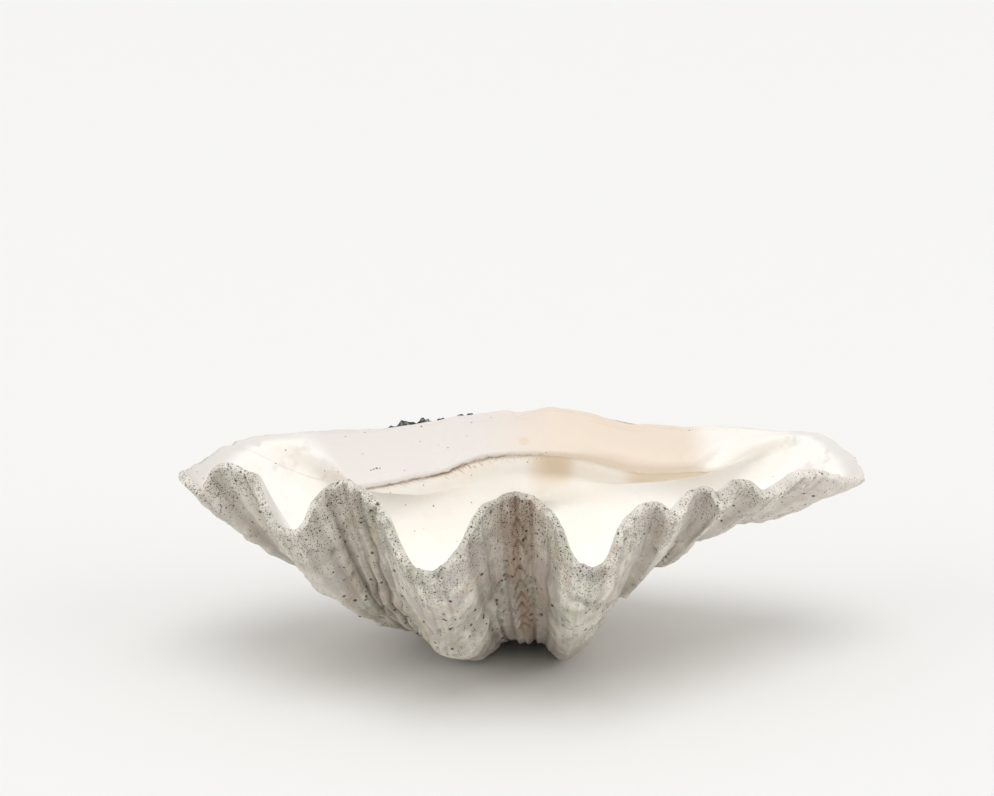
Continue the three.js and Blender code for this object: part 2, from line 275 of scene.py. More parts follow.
def hermite(u, start, leave, end, arrive):
    """Cubic from start to end as u goes from 0 to 1, leaving and arriving with given slopes."""
    return ((2 * u**3 - 3 * u**2 + 1) * start + (u**3 - 2 * u**2 + u) * leave
            + (3 * u**2 - 2 * u**3) * end + (u**3 - u**2) * arrive)


def closed_curve(at, values, t, level=False):
    """Closed cubic Hermite curve through values at places round the margin, read at t. Slopes are
    three-point ones, or where level the weighted harmonic mean, flat at every turn."""
    at, values = np.asarray(at, float), np.asarray(values, float)
    if values.ndim == 1:
        return closed_curve(at, values[:, None], t, level)[..., 0]
    gap = (np.roll(at, -1) - at) % GIRTH
    rise = (np.roll(values, -1, 0) - values) / gap[:, None]
    gap_before, rise_before = np.roll(gap, 1)[:, None], np.roll(rise, 1, 0)
    gap_here = gap[:, None]
    if level:
        near, far = 2 * gap_here + gap_before, gap_here + 2 * gap_before
        same = rise_before * rise > 0
        a, b = np.where(same, rise_before, 1), np.where(same, rise, 1)
        slope = np.where(same, (near + far) / (near / a + far / b), 0)
    else:
        slope = (rise_before * gap_here + rise * gap_before) / (gap_here + gap_before)
    along = (np.asarray(t) - at[0]) % GIRTH
    i = np.clip(np.searchsorted(at - at[0], along, side="right") - 1, 0, len(at) - 1)
    u = ((along - (at[i] - at[0])) / gap[i])[..., None]
    j = (i + 1) % len(at)
    g = gap[i][..., None]
    return hermite(u, values[i], g * slope[i], values[j], g * slope[j])


def path_without(kind, t):
    """The rib curve or the groove curve: the closed path that skips stations of one kind."""
    keep = [i for i, s in enumerate(STATIONS) if s[1] != kind]
    return closed_curve(PLACES[keep], RIM[keep], t)


def shaped(share, t):
    """Share w with steeper flanks, part of the way to 3w^2 - 2w^3. It is narrowed to w^NARROW_RIB
    on the small ribs, and drawn to a level on the right wing."""
    share = np.clip(share, 0, 1)
    middle = np.exp(-(((t - MIDDLE) / MIDDLE_REACH) ** 4))
    steep = STEEP_FLANK + (MIDDLE_FLANK - STEEP_FLANK) * middle
    share = np.clip(share + steep * (share**2 * (3 - 2 * share) - share), 0, 1)
    small = smooth(t, PLACE["groove3"] - NARROW_FADE, PLACE["groove3"] + NARROW_FADE)
    share = share + (share**NARROW_RIB - share) * small
    wing = smooth(t, *WING_FROM) * (1 - smooth(t, *WING_TO))
    return share + (WING_FOLDS - 1) * (share - WING_LEVEL) * wing


def wave(t):
    """Share of the rib curve in the margin: 1 at ribs, 0 at grooves."""
    return shaped(closed_curve(PLACES, [WAVE[s[1]] for s in STATIONS], t, level=True), t % GIRTH)


def filled_wave(t):
    """The same share inside, where the small ribs are partly filled."""
    numbers = [WAVE[s[1]] - RIB_FILL.get(s[0], 0) for s in STATIONS]
    return shaped(closed_curve(PLACES, numbers, t, level=True), t % GIRTH)


def rim_at(t, share):
    """Groove curve mixed with the rib curve by share."""
    groove, rib = path_without("rib", t), path_without("groove", t)
    share = np.asarray(share)[..., None] * np.ones_like(groove)
    return groove + (rib - groove) * share


def freedom(t):
    """1 on the free margin and 0 along the hinge line."""
    left = smooth(t, PLACE["hingeLeft"], PLACE["leftCorner"])
    right = 1 - smooth(t, PLACE["rightCorner"], PLACE["hingeNearRight"])
    free = np.where(t > PLACE["hingeNearLeft"], left, right)
    return np.where(t > PLACE["rightCorner"], free, 1)


def turned(v, angle):
    """v turned about X by angle."""
    c, s = np.cos(angle), np.sin(angle)
    return np.stack((v[..., 0], v[..., 1] * c - v[..., 2] * s, v[..., 1] * s + v[..., 2] * c), -1)


def belly(s):
    """s^BELLY_RISE (1 - s^BELLY_FALL), scaled to 1 at its highest."""
    peak = (BELLY_RISE / (BELLY_RISE + BELLY_FALL)) ** (1 / BELLY_FALL)
    shape = lambda a: a**BELLY_RISE * (1 - a**BELLY_FALL)
    return shape(s) / shape(peak)


def widened(s, t):
    """Place whose wave is used at s: nearer to the middle groove than t, by up to a share of the
    way for each side, so that the groove widens towards the beak."""
    offset = t - MIDDLE
    share = np.where(offset < 0, MIDDLE_WIDER_LEFT, MIDDLE_WIDER_RIGHT)
    within = np.clip(1 - (offset / WIDER_REACH) ** 2, 0, 1) ** 2
    return t - offset * share * within * (1 - smooth(s, 0.7, 1))


def coil(s, t, fade=1, folds=1, share=wave):
    """Coiled wall: from the beak, s times the way to the margin, turned about X by BEAK_TURN
    (1 - s^(COIL / BEAK_TURN)), with folds shrunk by s^fade, and let down by the belly's sag."""
    s, t = np.broadcast_arrays(s, t)
    level = rim_at(t, 0.5)
    edge = level + (rim_at(t, share(widened(s, t))) - level) * (s**fade * folds)[..., None]
    turn = freedom(t) * BEAK_TURN * (1 - s ** (COIL / BEAK_TURN))
    point = BEAK + s[..., None] * turned(edge - BEAK, turn)
    point[..., 2] -= belly(s) * closed_curve(PLACES, [st[5] for st in STATIONS], t)
    return point


def unit(v):
    """v scaled to length 1."""
    return v / np.maximum(np.linalg.norm(v, axis=-1, keepdims=True), 1e-12)


def normal_of(surface, s, t, reach=NEAR_REACH):
    """Outward unit normal: the cross product of the surface's differences along s and along t."""
    along_s = surface(np.minimum(s + STEP, 1), t) - surface(s - STEP, t)
    along_t = surface(s, t + reach) - surface(s, t - reach)
    return unit(np.cross(along_t, along_s))


def ledge(s, t):
    """Sawtooth of the growth ledges: a slow square rise, then a short drop. Each wanders along
    the margin and comes and goes with noise."""
    total = 0 * s
    for number, (stop, height) in enumerate(LEDGES):
        here = s + 0.014 * strip_noise(t, 18, 7.7 + 3 * number) + 0.006 * strip_noise(t, 5, 1.1)
        rise = np.clip((here - stop + LEDGE_LENGTH) / LEDGE_LENGTH, 0, 1)
        drop = np.clip((here - stop) / LEDGE_DROP, 0, 1)
        comes = np.clip(0.7 + 1.1 * strip_noise(t, 34, 2.9 + 5 * number), 0.1, 1.5)
        total += height * comes * rise**2 * (1 - drop)
    return total


def lip_way(t):
    """Outward direction across the lip: the wall's normal, level on the hinge line."""
    wall = normal_of(coil, np.ones_like(t), t)
    ahead = rim_at(t + 0.5, wave(t + 0.5)) - rim_at(t - 0.5, wave(t - 0.5))
    flat = unit(np.stack((ahead[..., 1], -ahead[..., 0], 0 * t), -1))
    free = freedom(t)[..., None]
    return unit(flat + (wall - flat) * free)


def bowl(s, t):
    """The coiled wall with softer folds, moved inwards by the wall's thickness."""
    def folded(a, b):
        return coil(a, b, INNER_FADE, 1, filled_wave)

    def plain(a, b):
        return coil(a, b, INNER_FADE, 0)

    depth = 1 - np.clip((s - 0.6) / 0.4, 0, 1)
    reach = NEAR_REACH + (WIDE_REACH - NEAR_REACH) * depth
    near, wide = normal_of(folded, s, t, reach), normal_of(plain, s, t, reach)
    out = unit(near + (wide - near) * (WIDE_SHARE * depth)[..., None])
    deep = BOWL_WALL - WING_THINNER * (rim_at(t, 0.5)[..., 0] / HALF_LENGTH) ** 2
    wall = deep + (LIP - deep) * np.clip((s - 0.5) / 0.5, 0, 1) ** 1.5
    return folded(s, t) - out * wall[..., None]


def hollow(v, t):
    """Wall of the hollow: the bowl beyond a turning point, and before it a cubic Hermite curve
    from the cavity that meets the bowl with the same slope."""
    turning = TURNING + WING_TURNING * (rim_at(t, 0.5)[..., 0] / HALF_LENGTH) ** 2
    on_coil = lambda a: INNER_START + (1 - INNER_START) * a
    beyond = bowl(on_coil(np.maximum(v, turning)), t)
    end = bowl(on_coil(turning), t)
    slope = (bowl(on_coil(turning + STEP), t) - end) * (turning / STEP)[..., None]
    u = np.clip(v / turning, 0, 1)[..., None]
    before = hermite(u, CAVITY, (end - CAVITY) * CAVITY_PULL, end, slope)
    return np.where((v < turning)[..., None], before, beyond)


def hinge_side(v, t):
    """Hinge plate: straight from its edge to the lip with a parabolic swell, and below the edge a
    line to the cavity pushed back by the overhang, u^5 (1 - u) scaled to 1."""
    edge = closed_curve([PLACE[p[0]] for p in PLATE_EDGE], [p[1:] for p in PLATE_EDGE], t)
    edge[..., 2] -= EDGE_DIP * bell((edge[..., 0] - EDGE_DIP_AT) / EDGE_DIP_REACH)
    u = np.clip((v - PLATE_EDGE_AT) / (1 - PLATE_EDGE_AT), 0, 1)[..., None]
    lip = rim_at(t, wave(t)) - lip_way(t) * LIP
    above = edge + (lip - edge) * u
    above[..., 2] += PLATE_SWELL * 4 * (u * (1 - u))[..., 0]
    roll = smooth(edge[..., 0], *ROLL_FROM) * (1 - smooth(edge[..., 0], *ROLL_TO))
    above = above + ROLL_WAY * (roll[..., None] * np.sin(np.pi * u**0.6) * (1 - u))
    low = np.clip(v / PLATE_EDGE_AT, 0, 1)[..., None]
    bump = low**5 * (1 - low) / ((5 / 6) ** 5 / 6)
    below = CAVITY + (edge - CAVITY) * low + OVERHANG * bump
    return np.where((v >= PLATE_EDGE_AT)[..., None], above, below)


def plate_end(t):
    """0 where the hinge plate is whole and 1 where the wings have none."""
    halfway = (PLACE["hingeLeft"] + PLACE["hingeFarLeft"]) / 2
    left = smooth(t, halfway, PLACE["leftCorner"])
    right = 1 - smooth(t, PLACE["rightCorner"], PLACE["hingeRight"])
    return np.where(t > PLACE["hingeNearLeft"], left, right)


def inside(v, t):
    """Inner wall: the hinge plate where it is whole, the hollow's wall elsewhere."""
    v, t = np.broadcast_arrays(v, t)
    plate = hinge_side(v, t)
    return plate + (hollow(v, t) - plate) * plate_end(t)[..., None]


# A fixed block of random numbers from -1 to 1.
LATTICE = np.random.RandomState(NOISE_SEED).uniform(-1, 1, (64, 64, 64)).astype(np.float32)


def noise(points, wavelength, shift=0):
    """Value noise: random numbers on a cubic lattice, mixed by smooth weights between corners."""
    p = np.asarray(points) / wavelength + shift
    base = np.floor(p).astype(int)
    f = p - base
    f = f * f * (3 - 2 * f)
    size = LATTICE.shape[0]
    total = 0
    for dx in (0, 1):
        for dy in (0, 1):
            for dz in (0, 1):
                weight = (np.abs(1 - dx - f[..., 0]) * np.abs(1 - dy - f[..., 1])
                          * np.abs(1 - dz - f[..., 2]))
                corner = LATTICE[(base[..., 0] + dx) % size, (base[..., 1] + dy) % size,
                                 (base[..., 2] + dz) % size]
                total = total + weight * corner
    return total


def strip_noise(t, wavelength, shift=0, s=0):
    """The same noise along the margin, drifting slowly with s."""
    t, s = np.broadcast_arrays(t, s)
    return noise(np.stack((t, s * 20, 0 * t), -1), wavelength, shift)


def riblets(s, t, height):
    """Fine ribs that fan with the folds. Along the margin a noise curve n crosses zero at
    irregular places, and each crossing is a narrow valley, exp(-(n / width)^2), between rounded
    ribs. They are faint where the folds are rounded. Gives the height and the valleys' depth,
    which the material paints as shade."""
    patchy = np.clip(0.75 + 0.9 * strip_noise(t, 26, 11.3, 0.6 * s), 0.25, 1.25)
    lift, valley = 0, 0
    for span, shift, share, sharp in RIBLETS:
        curve = strip_noise(t, span, shift, 0.35 * s)
        cut = bell(curve / sharp)
        lift = lift + share * (0.8 * np.abs(curve) - cut)
        valley = valley + share * cut
    flank = 0.55 + 0.45 * np.sin(np.pi * np.clip(wave(t), 0, 1))
    rounded = smooth(wave(t), 0.6, 0.9) * (1 - smooth(s, 0.86, 0.95))
    strength = patchy * flank * freedom(t) * smooth(s, 0.25, 0.6) * (1 - 0.75 * rounded)
    return height * strength * lift, np.clip(valley * strength, 0, 1)


def dents(s, t, sizes):
    """Round pits and short slits across the growth at seeded places of the outside. Each takes
    (1 - d^2)^2 of its depth off the wall, where d is the distance in its own lengths. Gives the
    depth and how far into a dent each point lies."""
    random = np.random.RandomState(DENT_SEED)
    depth, within = 0 * s, 0 * s
    for number in range(PIT_COUNT + SLIT_COUNT):
        at_t = random.uniform(PLACE["rib0"] - 20, PLACE["groove6"])
        at_s = 1 - 0.36 * random.uniform(0, 1) ** 0.7
        size = 1.3 + 1.3 * random.uniform(0, 1) ** 3
        wide = 1
        if number >= PIT_COUNT / 2:
            at_t, at_s = random.uniform(*LOBE), random.uniform(*LOBE_PITS)
        if number >= PIT_COUNT:
            at_s, size, wide = random.uniform(*LOBE_SLITS), 1.3, 2
        across = s * (t - at_t) / (size * wide)
        along = WALL_LENGTH * (s - at_s) / size
        near = np.clip(1 - across**2 - along**2, 0, 1) ** 2
        depth = np.maximum(depth, near * size)
        within = np.maximum(within, near)
    return depth * sizes.pit_depth / MM * freedom(t), within * freedom(t)


def scutes(s, t):
    """Arched scales up the middle groove: each is a band exp(-((s - s0 + c dt^2) / w)^2) between
    the groove's edges. Gives the height and the dark line of painted shade under each scale."""
    offset = s * (t - MIDDLE)
    middle = np.exp(-((offset / 6.5) ** 4)) * smooth(s, 0.6, 0.7)
    lift, line = 0 * s, 0 * s
    for number, at in enumerate(SCUTES):
        drop = s - at + 0.0009 * offset**2 + 0.004 * strip_noise(t, 4, 3.3 + number)
        lift = lift + 0.9 * bell((drop - 0.007) / 0.006) * middle
        line = line + 1.4 * bell(drop / 0.0045) * middle
    return lift, np.clip(line, 0, 1)


def ridges(s, t):
    """Ridges and valleys that run with the growth: each is its height times exp(-(d / width)^2),
    where d is the distance along the margin shrunk by s, and comes and goes with noise. Gives the
    height and the dark lines of painted shade in the valleys."""
    lift, line, begun = 0 * s, 0 * s, smooth(s, 0.45, 0.65)
    for number, (place, height, width, dark) in enumerate(RIDGES):
        across = s * (t - place) + strip_noise(0 * t + place, 40, 0.7 * number, 2.2 * s)
        comes = np.clip(0.8 + 0.9 * strip_noise(0 * t + 3 * place, 9, 1.9, 4 * s), 0.25, 1.3)
        near = bell(across / width) * comes * begun
        lift = lift + height * near
        line = line + dark * bell(across / (0.85 * width)) * comes
    return lift, np.clip(line * begun, 0, 1)


def ring_faces(rows, width):
    """Faces of a grid that closes round its columns, with a fan of triangles to a tip at each end.
    Point 0 is the first tip, then come the rows, then the last tip."""
    r, k = np.meshgrid(np.arange(rows - 1), np.arange(width), indexing="ij")
    a, b = 1 + r * width + k, 1 + r * width + (k + 1) % width
    quads = np.stack((a, b, b + width, a + width), -1).reshape(-1, 4)
    k = np.arange(width)
    first = np.stack((0 * k, 1 + (k + 1) % width, 1 + k), -1)
    last_row = 1 + (rows - 1) * width
    tip = np.full(width, 1 + rows * width)
    last = np.stack((tip, last_row + k, last_row + (k + 1) % width), -1)
    return first.tolist() + quads.tolist() + last.tolist()


def to_frame(points):
    """Millimetres from the hinge line to metres in the frame, kept inside the solid's box."""
    low, high = np.array(CAD_BOX)
    return np.clip((points + HINGE_AT) * MM, low, high)


def added(name, data):
    """A new object in the scene."""
    made = bpy.data.objects.new(name, data)
    bpy.context.scene.collection.objects.link(made)
    return made


def closed_piece(name, first_tip, rows, last_tip, fields=None):
    """A smooth-shaded closed mesh from rows of points between two tips, with named numbers or
    vectors for each of its points. Each tip takes the mean of the row next to it."""
    points = np.concatenate((first_tip[None], rows.reshape(-1, 3), last_tip[None]))
    mesh = bpy.data.meshes.new(name)
    mesh.from_pydata(to_frame(points).tolist(), [], ring_faces(*rows.shape[:2]))
    mesh.polygons.foreach_set("use_smooth", np.ones(len(mesh.polygons), bool))
    for label, grid in (fields or {}).items():
        flat = np.concatenate((grid[0].mean(0)[None], grid.reshape(-1, *grid.shape[2:]),
                               grid[-1].mean(0)[None]))
        kind, part = ("FLOAT_VECTOR", "vector") if grid.ndim == 3 else ("FLOAT", "value")
        data = mesh.attributes.new(label, kind, "POINT").data
        data.foreach_set(part, flat.astype(np.float32).ravel())
    mesh.update()
    return added(name, mesh)


def margin_columns():
    """Places of the columns: close together on the free margin and wider on the hinge line."""
    columns = []
    for place, span in zip(PLACES, SPANS):
        hinge = PLACE["rightCorner"] <= place < PLACE["leftCorner"]
        count = max(4, round(span / (HINGE_STEP if hinge else MARGIN_STEP)))
        columns.append(place + span * np.arange(count) / count)
    return np.concatenate(columns)


def scallop(t):
    """Small reaches of the lip past the smooth margin, read between places along it."""
    places, reach = np.array(SCALLOPS, float).T
    ragged = 0.7 * strip_noise(t, 6, 8.8) + 0.35 * strip_noise(t, 2.4, 4.1)
    return np.interp(t % GIRTH, places, reach, period=GIRTH) + ragged


def grown(surface, s, t):
    """A wall whose last part is stretched along its own growth by the scallops, less LIP_BACK, and
    let down by LIP_DOWN, more at the ribs than in the grooves."""
    point = surface(s, t)
    ahead = unit(surface(np.ones_like(s), t) - surface(np.full_like(s, 0.97), t))
    near = smooth(s, 0.86, 1) * freedom(t)
    point = point + ahead * ((scallop(t) - LIP_BACK) * near)[..., None]
    point[..., 2] -= (LIP_DOWN[0] + LIP_DOWN[1] * wave(t)) * near
    return point


def outside(s, t, sizes):
    """Outer wall: the coiled wall moved along its normal by ledges, riblets, scales, ridges,
    swells and noise, less the dents. Gives the points, the valleys' painted shade and the dents."""
    wall = grown(coil, s, t)
    out = normal_of(coil, s, t)
    lift, valley = riblets(s, t, sizes.riblet_height / MM)
    rough = sizes.unevenness / MM * (noise(wall, 22) + 0.4 * noise(wall, 8, 9.2)
                                     + 0.25 * noise(wall, 3.6, 4.4))
    for at_t, at_s, height, wide, long in SWELLS:
        rough = rough + height * np.exp(-(((t - at_t) / wide) ** 2) - ((s - at_s) / long) ** 2)
    dug, pit = dents(s, t, sizes)
    scale, line = scutes(s, t)
    ridge, dark = ridges(s, t)
    steps = ledge(s, t) * (1 - 0.6 * smooth(t, 320, 370))
    lift = (steps + lift + scale + ridge) * freedom(t) + rough * smooth(s, 0.1, 0.4) - dug
    return wall + out * lift[..., None], np.maximum(np.maximum(0.5 * valley, line), dark), pit


def eased(rows, share):
    """Rows moved towards the mean of four neighbours round after round, as far as share. The two
    beside them are first far along the row and then near."""
    for reach in EASING_REACHES * EASING_ROUNDS:
        beside = np.roll(rows, reach, 1) + np.roll(rows, -reach, 1)
        across = np.concatenate((rows[:1], rows[:-1])) + np.concatenate((rows[1:], rows[-1:]))
        rows = rows + ((beside + across) / 4 - rows) * share[..., None]
    return rows


def side_light_paleness(t):
    """How much painted side light pales the outside: most at the right end, some at the left,
    none in the middle.
    """
    right = 0.6 * smooth(t, 318, 365) + 0.4 * smooth(t, 450, 500)
    return right * (1 - smooth(t, 600, 700)) + 0.6 * (1 - smooth(t, 90, 150))


def valve_rows(sizes):
    """Outer rows from the beak to the margin, the half-round crown of the lip and the inner rows
    down to the cavity, with what the material reads at each point."""
    t = margin_columns()[None]
    s = np.concatenate((np.linspace(0, OUTER_FINE_FROM, OUTER_COARSE_COUNT + 1)[1:],
                        np.linspace(OUTER_FINE_FROM, 1, OUTER_FINE_COUNT + 1)[1:]))[:, None]
    v = np.linspace(1, 0, INNER_COUNT + 1)[:-1][:, None]
    s, t_out = np.broadcast_arrays(s, t)
    v, t_in = np.broadcast_arrays(v, t)
    outer, valley, pit = outside(s, t_out, sizes)
    inner = grown(inside, v, t_in)
    plate = 1 - plate_end(t_in)
    inner = eased(inner, (1 - smooth(v, 0.22, 0.42)) * (1 - 0.3 * plate))
    swell = 0.4 * noise(inner, 30, 2.2) * smooth(v, 0.1, 0.5)
    inner = inner + swell[..., None] * UP

    held = 1 - freedom(t)
    ragged = (0.9 * strip_noise(t, 13, 5.2) + 0.5 * strip_noise(t, 5, 2.6)) * held
    for x, height, wide in RIM_STEPS:
        ragged = ragged + height * bell((outer[-1:, :, 0] - x) / wide) * held
    outer[..., 2] += ragged * smooth(s, 0.93, 1)
    inner[..., 2] += ragged * smooth(v, 0.9, 1)
    middle, half = (outer[-1] + inner[0]) / 2, (outer[-1] - inner[0]) / 2
    free = freedom(t[0])[:, None]
    way = unit(UP * (1 - free) + unit(outer[-1] - outer[-3]) * free)
    angle = np.linspace(0, np.pi, CROWN_COUNT + 2)[1:-1][:, None]
    crown = (middle + half * np.cos(angle)[..., None] + way * LIP_CROWN * np.sin(angle)[..., None])
    flat = np.zeros((CROWN_COUNT, t.shape[1]))
    phase = 2 * np.pi * t / GIRTH
    around = GIRTH / (2 * np.pi) * np.stack((np.cos(phase), np.sin(phase)), -1)
    steps = np.linalg.norm(np.diff(inner, axis=0), axis=-1)
    depth = np.concatenate((0 * t, np.cumsum(steps, 0)))
    edge_row = np.abs(v[:, 0] - PLATE_EDGE_AT).argmin()
    below = depth - depth[edge_row]

    def stack(a, b, c):
        return np.concatenate((a, b + flat, c))

    values = {
        "outside": stack(1 - 0.9 * held * smooth(s, 0.95, 0.99),
                         (1 - smooth(angle, 1.9, 3.1)) * (1 - 0.97 * held), 0 * v),
        "lip": stack(smooth(s, 0.86, 1), 1, smooth(v, 0.93, 1)),
        "growth": stack(s, 1, v),
        "valley": stack(valley, 0, 0 * v),
        "brown": stack((bell((t_out - MIDDLE) / 16)
                        + 0.35 * bell((t_out - PLACE["groove1"]) / 12))
                       * smooth(s, 0.6, 0.75), 0, 0 * v),
        "pit": stack(pit, 0, 0 * v),
        "plate": stack(0 * s, 1 - plate_end(t), plate),
        "below": stack(0 * s - 50, -50, np.where(plate > 0, below, 50)),
        # How much painted side light pales each point.
        "pale": stack(side_light_paleness(t_out), side_light_paleness(t), 0 * v),
    }
    rows = np.concatenate((outer, crown, inner))
    values["left"] = smooth(-rows[..., 0], -22, 48)
    along = stack(GROWTH_LENGTH * s, GROWTH_LENGTH, GROWTH_LENGTH * v)
    values["around"] = np.concatenate((np.broadcast_to(around, rows.shape[:2] + (2,)),
                                       along[..., None]), -1)
    return rows, values


def crust_rows(sizes):
    """Old crust behind the hinge line: a disc on the back whose top is noise lumps that fall to
    nothing at its rim, and whose underside is sunk a little into the wall."""
    radius = np.concatenate((np.linspace(0, 1, CRUST_RINGS + 1)[1:],
                             np.linspace(1, 0, CRUST_UNDER_RINGS + 2)[1:-1]))[:, None]
    turn = np.linspace(0, 2 * np.pi, CRUST_COLUMNS + 1)[:-1][None]
    top = np.arange(len(radius))[:, None] < CRUST_RINGS
    place = CRUST_PLACE + CRUST_HALF_LENGTH * radius * np.cos(turn)
    s = CRUST_MIDDLE + CRUST_HALF_WIDTH * radius * np.sin(turn)
    base = coil(s, place)
    lumps = (0.62 + 0.6 * noise(base, 7, 1.5) + 0.5 * noise(base, 3, 6.1)
             + 0.2 * noise(base, 1.4, 3.3))
    height = sizes.crust_height / MM * np.clip(lumps, 0.1, 1.3) * (1 - radius**8)
    lift = np.where(top, height - CRUST_SUNK, -1.2 * (1 - radius**2) - CRUST_SUNK)
    return base + lift[..., None] * CRUST_WAY


class Wiring:
    """Short ways to add and join nodes in one tree."""

    def __init__(self, tree):
        self.tree = tree

    def node(self, kind, inputs=None, **settings):
        new = self.tree.nodes.new(kind)
        for key, value in settings.items():
            setattr(new, key, value)
        for key, value in (inputs or {}).items():
            self.feed(value, new.inputs[key])
        return new

    def feed(self, value, socket):
        if isinstance(value, bpy.types.NodeSocket):
            self.tree.links.new(value, socket)
        else:
            socket.default_value = value

    def calc(self, operation, *terms, clamp=False):
        return self.node("ShaderNodeMath", dict(enumerate(terms)), operation=operation,
                         use_clamp=clamp).outputs[0]

    def times(self, product, *factors):
        for factor in factors:
            product = self.calc("MULTIPLY", product, factor)
        return product

    def rest(self, value):
        return self.calc("SUBTRACT", 1, value)

    def step(self, *terms):
        """From 0 to 1, or as the last two terms say, while the first goes from the second to the
        third."""
        return self.node("ShaderNodeMapRange", dict(enumerate(terms)),
                         interpolation_type="SMOOTHSTEP").outputs[0]

    def scaled(self, vector, factors):
        return self.node("ShaderNodeVectorMath", {0: vector, 1: factors},
                         operation="MULTIPLY").outputs[0]

    def mix(self, share, *pair):
        first, second = (colour if isinstance(colour, bpy.types.NodeSocket) else (*colour, 1)
                         for colour in pair)
        return self.node("ShaderNodeMix", {0: share, 6: first, 7: second},
                         data_type="RGBA").outputs[2]

    def read(self, attribute, kind="Fac"):
        return self.node("ShaderNodeAttribute", attribute_name=attribute).outputs[kind]

    def bump(self, height, strength, distance):
        given = {"Height": height, "Strength": strength, "Distance": distance}
        return self.node("ShaderNodeBump", given).outputs[0]

    def group(self, tree, **inputs):
        given = {name.capitalize(): value for name, value in inputs.items()}
        return self.node("ShaderNodeGroup", given, node_tree=tree).outputs[0]


def new_group(name, output, **numbers):
    """An empty shader node group that reads a place and named numbers and gives one number."""
    tree = bpy.data.node_groups.new(name, "ShaderNodeTree")
    tree.interface.new_socket("Place", in_out="INPUT", socket_type="NodeSocketVector")
    for label, value in numbers.items():
        tree.interface.new_socket(label.capitalize(), in_out="INPUT",
                                  socket_type="NodeSocketFloat").default_value = value
    tree.interface.new_socket(output, in_out="OUTPUT", socket_type="NodeSocketFloat")
    w = Wiring(tree)
    return tree, w, w.node("NodeGroupInput").outputs, w.node("NodeGroupOutput").inputs[output]


def pinhole_group():
    """Round holes: one in each Voronoi cell whose random number is under the density."""
    tree, w, given, result = new_group("Pinholes", "Hole", spacing=2, density=0.5, radius=0.3)
    cells = w.node("ShaderNodeTexVoronoi", {
        "Vector": given["Place"], "Scale": w.calc("DIVIDE", 1, given["Spacing"])}).outputs
    chance = w.node("ShaderNodeSeparateColor", {"Color": cells["Color"]}).outputs
    there = w.calc("LESS_THAN", chance[0], given["Density"])
    size = w.times(given["Radius"], w.calc("ADD", 0.5, chance[1]))
    w.feed(w.times(w.step(cells["Distance"], w.times(size, 0.55), size, 1, 0), there), result)
    return tree


def cloud_group():
    """Soft patches: fractal noise stretched between a low and a high level."""
    tree, w, given, result = new_group("Clouds", "Patch", size=20, low=0.4, high=0.6)
    cloud = w.node("ShaderNodeTexNoise", {
        "Vector": given["Place"], "Scale": w.calc("DIVIDE", 1, given["Size"]), "Detail": 3,
        "Roughness": 0.6})
    w.feed(w.step(cloud.outputs[0], given["Low"], given["High"]), result)
    return tree


def clean_material(name):
    """A new node material with its Principled shader."""
    material = bpy.data.materials.new(name)
    material.use_nodes = True
    return material, Wiring(material.node_tree), material.node_tree.nodes["Principled BSDF"]


